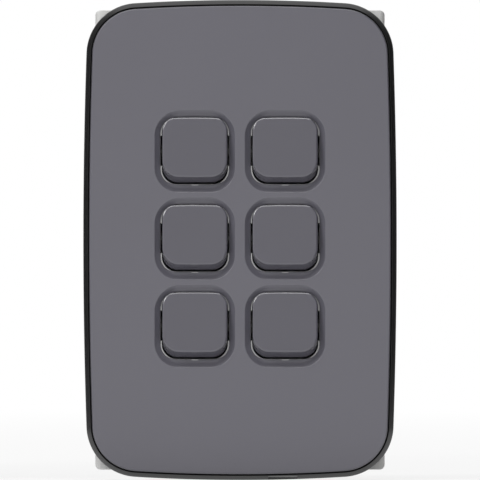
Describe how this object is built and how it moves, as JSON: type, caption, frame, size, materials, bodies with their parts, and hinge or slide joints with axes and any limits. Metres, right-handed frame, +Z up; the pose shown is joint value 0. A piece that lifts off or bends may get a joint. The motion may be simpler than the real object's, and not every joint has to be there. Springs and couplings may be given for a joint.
{
  "type": "switch plate",
  "caption": "Vertical wall switch plate with a bowed clip-on cover in a dark surround and two columns of rocker switches with their mechanisms behind.",
  "frame": {"origin": "midway between the two fixing holes, in the wall plane that the grid plate's rim lies in", "axes": "+Z up the wall, +X to the right as seen from the room, +Y into the wall, front faces -Y"},
  "size_m": [0.0764, 0.0353, 0.117],
  "materials": {
    "cover_plastic": "fine satin moulded",
    "dolly_plastic": "satin moulded",
    "surround_plastic": "semi-gloss black moulded",
    "grid_plastic": "pale grey moulded",
    "actuator_plastic": "natural moulded",
    "plunger_plastic": "smooth moulded",
    "case_plastic": "off-white moulded",
    "brass": "bright stamped and turned",
    "steel": "bright zinc plated"
  },
  "bodies": {
    "plate": {"front_cover": "cover_plastic", "surround": "surround_plastic", "grid_plate": "grid_plastic", "terminal_screws": "steel", "mech_body_1": "case_plastic", "mech_base_1": "case_plastic", "terminals_1": "brass", "mech_body_2": "case_plastic", "mech_base_2": "case_plastic", "terminals_2": "brass", "mech_body_3": "case_plastic", "mech_base_3": "case_plastic", "terminals_3": "brass", "mech_body_4": "case_plastic", "mech_base_4": "case_plastic", "terminals_4": "brass", "mech_body_5": "case_plastic", "mech_base_5": "case_plastic", "terminals_5": "brass", "mech_body_6": "case_plastic", "mech_base_6": "case_plastic", "terminals_6": "brass"},
    "rocker_1": {"dolly_1": "dolly_plastic", "rocker_1": "actuator_plastic", "spring_1": "steel"},
    "plunger_1": {"plunger_1": "plunger_plastic"},
    "contact_1": {"contact_1": "brass"},
    "rocker_2": {"dolly_2": "dolly_plastic", "rocker_2": "actuator_plastic", "spring_2": "steel"},
    "plunger_2": {"plunger_2": "plunger_plastic"},
    "contact_2": {"contact_2": "brass"},
    "rocker_3": {"dolly_3": "dolly_plastic", "rocker_3": "actuator_plastic", "spring_3": "steel"},
    "plunger_3": {"plunger_3": "plunger_plastic"},
    "contact_3": {"contact_3": "brass"},
    "rocker_4": {"dolly_4": "dolly_plastic", "rocker_4": "actuator_plastic", "spring_4": "steel"},
    "plunger_4": {"plunger_4": "plunger_plastic"},
    "contact_4": {"contact_4": "brass"},
    "rocker_5": {"dolly_5": "dolly_plastic", "rocker_5": "actuator_plastic", "spring_5": "steel"},
    "plunger_5": {"plunger_5": "plunger_plastic"},
    "contact_5": {"contact_5": "brass"},
    "rocker_6": {"dolly_6": "dolly_plastic", "rocker_6": "actuator_plastic", "spring_6": "steel"},
    "plunger_6": {"plunger_6": "plunger_plastic"},
    "contact_6": {"contact_6": "brass"}
  },
  "joints": [
    {"name": "rocker_hinge_1", "type": "hinge", "parent": "plate", "child": "rocker_1", "pos_m": [-0.011, -0.0059, 0.02173], "axis": [1, 0, 0], "range_deg": [0, 16]},
    {"name": "contact_hinge_1", "type": "hinge", "parent": "plate", "child": "contact_1", "pos_m": [-0.011, 0.00435, 0.02173], "axis": [1, 0, 0], "range_deg": [-10.4, 0]},
    {"name": "plunger_slide_1", "type": "slide", "parent": "rocker_1", "child": "plunger_1", "axis": [0, -0.9903, 0.1392], "range_m": [0, 0.0004], "stiffness_N_per_m": 300, "deforming": ["spring_1"]},
    {"name": "rocker_hinge_2", "type": "hinge", "parent": "plate", "child": "rocker_2", "pos_m": [0.011, -0.0059, 0.02173], "axis": [1, 0, 0], "range_deg": [0, 16]},
    {"name": "contact_hinge_2", "type": "hinge", "parent": "plate", "child": "contact_2", "pos_m": [0.011, 0.00435, 0.02173], "axis": [1, 0, 0], "range_deg": [-10.4, 0]},
    {"name": "plunger_slide_2", "type": "slide", "parent": "rocker_2", "child": "plunger_2", "axis": [0, -0.9903, 0.1392], "range_m": [0, 0.0004], "stiffness_N_per_m": 300, "deforming": ["spring_2"]},
    {"name": "rocker_hinge_3", "type": "hinge", "parent": "plate", "child": "rocker_3", "pos_m": [-0.011, -0.0059, 0.00043], "axis": [1, 0, 0], "range_deg": [0, 16]},
    {"name": "contact_hinge_3", "type": "hinge", "parent": "plate", "child": "contact_3", "pos_m": [-0.011, 0.00435, 0.00043], "axis": [1, 0, 0], "range_deg": [-10.4, 0]},
    {"name": "plunger_slide_3", "type": "slide", "parent": "rocker_3", "child": "plunger_3", "axis": [0, -0.9903, 0.1392], "range_m": [0, 0.0004], "stiffness_N_per_m": 300, "deforming": ["spring_3"]},
    {"name": "rocker_hinge_4", "type": "hinge", "parent": "plate", "child": "rocker_4", "pos_m": [0.011, -0.0059, 0.00043], "axis": [1, 0, 0], "range_deg": [0, 16]},
    {"name": "contact_hinge_4", "type": "hinge", "parent": "plate", "child": "contact_4", "pos_m": [0.011, 0.00435, 0.00043], "axis": [1, 0, 0], "range_deg": [-10.4, 0]},
    {"name": "plunger_slide_4", "type": "slide", "parent": "rocker_4", "child": "plunger_4", "axis": [0, -0.9903, 0.1392], "range_m": [0, 0.0004], "stiffness_N_per_m": 300, "deforming": ["spring_4"]},
    {"name": "rocker_hinge_5", "type": "hinge", "parent": "plate", "child": "rocker_5", "pos_m": [-0.011, -0.0059, -0.02087], "axis": [1, 0, 0], "range_deg": [0, 16]},
    {"name": "contact_hinge_5", "type": "hinge", "parent": "plate", "child": "contact_5", "pos_m": [-0.011, 0.00435, -0.02087], "axis": [1, 0, 0], "range_deg": [-10.4, 0]},
    {"name": "plunger_slide_5", "type": "slide", "parent": "rocker_5", "child": "plunger_5", "axis": [0, -0.9903, 0.1392], "range_m": [0, 0.0004], "stiffness_N_per_m": 300, "deforming": ["spring_5"]},
    {"name": "rocker_hinge_6", "type": "hinge", "parent": "plate", "child": "rocker_6", "pos_m": [0.011, -0.0059, -0.02087], "axis": [1, 0, 0], "range_deg": [0, 16]},
    {"name": "contact_hinge_6", "type": "hinge", "parent": "plate", "child": "contact_6", "pos_m": [0.011, 0.00435, -0.02087], "axis": [1, 0, 0], "range_deg": [-10.4, 0]},
    {"name": "plunger_slide_6", "type": "slide", "parent": "rocker_6", "child": "plunger_6", "axis": [0, -0.9903, 0.1392], "range_m": [0, 0.0004], "stiffness_N_per_m": 300, "deforming": ["spring_6"]}
  ],
  "couplings": [
    {"joint": "contact_hinge_1", "follows": "rocker_hinge_1", "ratio": -0.65},
    {"joint": "contact_hinge_2", "follows": "rocker_hinge_2", "ratio": -0.65},
    {"joint": "contact_hinge_3", "follows": "rocker_hinge_3", "ratio": -0.65},
    {"joint": "contact_hinge_4", "follows": "rocker_hinge_4", "ratio": -0.65},
    {"joint": "contact_hinge_5", "follows": "rocker_hinge_5", "ratio": -0.65},
    {"joint": "contact_hinge_6", "follows": "rocker_hinge_6", "ratio": -0.65}
  ]
}
